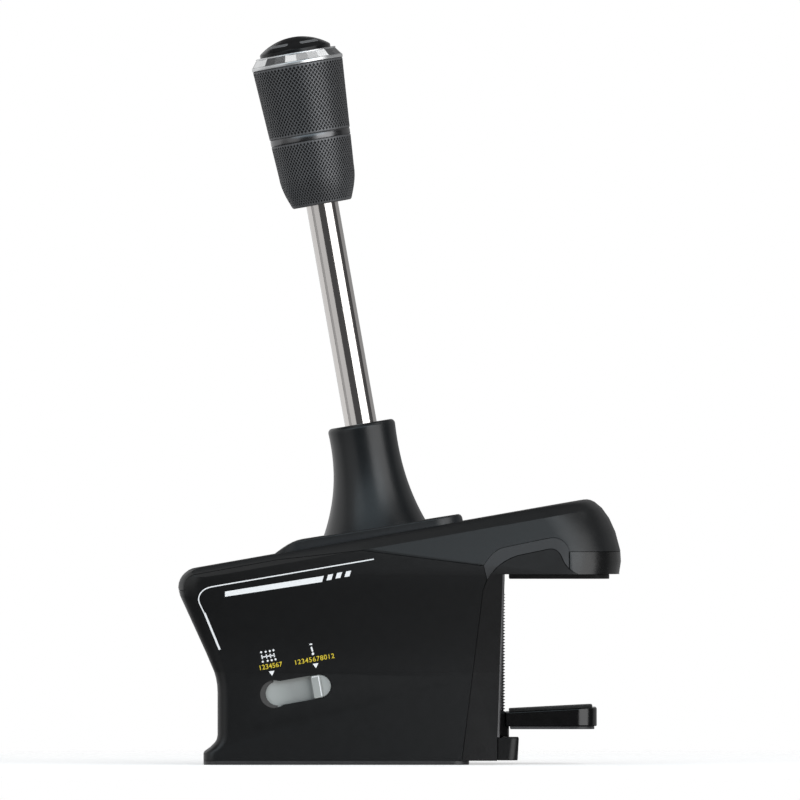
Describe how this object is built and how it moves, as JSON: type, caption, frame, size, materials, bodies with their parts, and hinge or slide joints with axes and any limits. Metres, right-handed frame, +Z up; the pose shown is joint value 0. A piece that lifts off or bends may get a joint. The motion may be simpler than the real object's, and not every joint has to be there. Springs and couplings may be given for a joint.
{
  "type": "sim racing gear shifter",
  "caption": "Desk-clamped gear shifter: wedge-shaped black body, tilted gimballed lever with a knurled knob, H gate inside, mode slider and screw-driven clamp jaw.",
  "frame": {"origin": "middle of the base plate's underside", "axes": "+Z up, +X towards the desk and the clamp, +Y to the driver's left, away from the mode slider's side"},
  "size_m": [0.2209, 0.11, 0.3638],
  "materials": {
    "shell": "satin black moulded plastic with a fine grain",
    "trim": "satin black moulded plastic",
    "clamp_metal": "black powder-coated die casting",
    "plate_metal": "black painted sheet steel",
    "boot": "satin black, very smooth",
    "pad_rubber": "matt black rubber",
    "shaft_chrome": "polished stainless",
    "grip": "black anodised, diamond knurled",
    "collar_aluminium": "machined and faceted",
    "cap_gloss": "gloss black",
    "mark_grey": "light grey inlay",
    "slider_grey": "light grey plastic",
    "screw_steel": "plain steel",
    "fastener_black": "black oxide",
    "frame_metal": "cast aluminium",
    "inner_steel": "ground steel",
    "brass": "plain brass",
    "board": "green board"
  },
  "bodies": {
    "base": {"base_plate": "plate_metal", "lower_housing": "shell", "top_cover": "shell", "jaw_arch": "trim", "nose_chin": "shell", "clamp_frame": "clamp_metal", "foot_block": "shell", "upper_pad": "pad_rubber", "bezel": "shell", "wiper_ring": "pad_rubber", "mechanism_frame": "frame_metal", "gate_plate": "inner_steel", "shift_bushes": "brass", "frame_magnets": "inner_steel", "sensor_posts": "brass", "shift_sensor_pcb": "board", "main_pcb": "board", "pcb_posts": "brass", "usb_socket": "screw_steel", "mode_pcb": "board", "thrust_washer": "screw_steel", "rig_nuts": "screw_steel", "base_screws": "fastener_black", "frame_screws": "fastener_black", "mechanism_screws": "fastener_black", "gate_screws": "fastener_black", "foot_screws": "fastener_black"},
    "gimbal": {"gimbal": "frame_metal", "shift_axles": "inner_steel", "gate_bushes": "brass", "gimbal_magnets": "inner_steel", "shift_magnet": "inner_steel", "gate_sensor_pcb": "board"},
    "lever": {"gate_axle": "inner_steel", "gate_magnet": "inner_steel", "pivot_block": "frame_metal", "finger": "inner_steel", "lever_set_screw": "fastener_black", "lever_shaft": "shaft_chrome", "dust_dome": "boot", "lever_shroud": "boot", "knob_insert": "brass", "grip_lower": "grip", "grip_band": "grip", "grip_upper": "grip", "facet_collar": "collar_aluminium", "knob_cap": "cap_gloss", "gate_marks": "mark_grey"},
    "slider": {"mode_slider": "slider_grey", "mode_magnet": "inner_steel"},
    "screw": {"clamp_screw": "screw_steel", "screw_clip": "screw_steel"},
    "jaw": {"clamp_jaw": "shell", "jaw_nut": "brass", "jaw_pad": "pad_rubber", "jaw_plate": "plate_metal"}
  },
  "joints": [
    {"name": "shift_pivot", "type": "hinge", "parent": "base", "child": "gimbal", "pos_m": [0.02701, 0, 0.08466], "axis": [0, 1, 0], "range_deg": [-8, 8], "stiffness_Nm_per_rad": 25},
    {"name": "gate_pivot", "type": "hinge", "parent": "gimbal", "child": "lever", "pos_m": [0.02701, 0, 0.08466], "axis": [0.9848, 0, 0.1736], "range_deg": [-6, 12], "stiffness_Nm_per_rad": 15},
    {"name": "mode_slide", "type": "slide", "parent": "base", "child": "slider", "axis": [-0.9848, 0, -0.1736], "range_m": [0, 0.0175]},
    {"name": "clamp_screw_turn", "type": "hinge", "parent": "base", "child": "screw", "pos_m": [0.08, 0, 0.05], "axis": [0, 0, 1], "range_deg": [0, 12000]},
    {"name": "jaw_slide", "type": "slide", "parent": "base", "child": "jaw", "axis": [0, 0, 1], "range_m": [0, 0.05]}
  ],
  "couplings": [
    {"joint": "clamp_screw_turn", "follows": "jaw_slide", "rad_per_m": 4188.8}
  ]
}
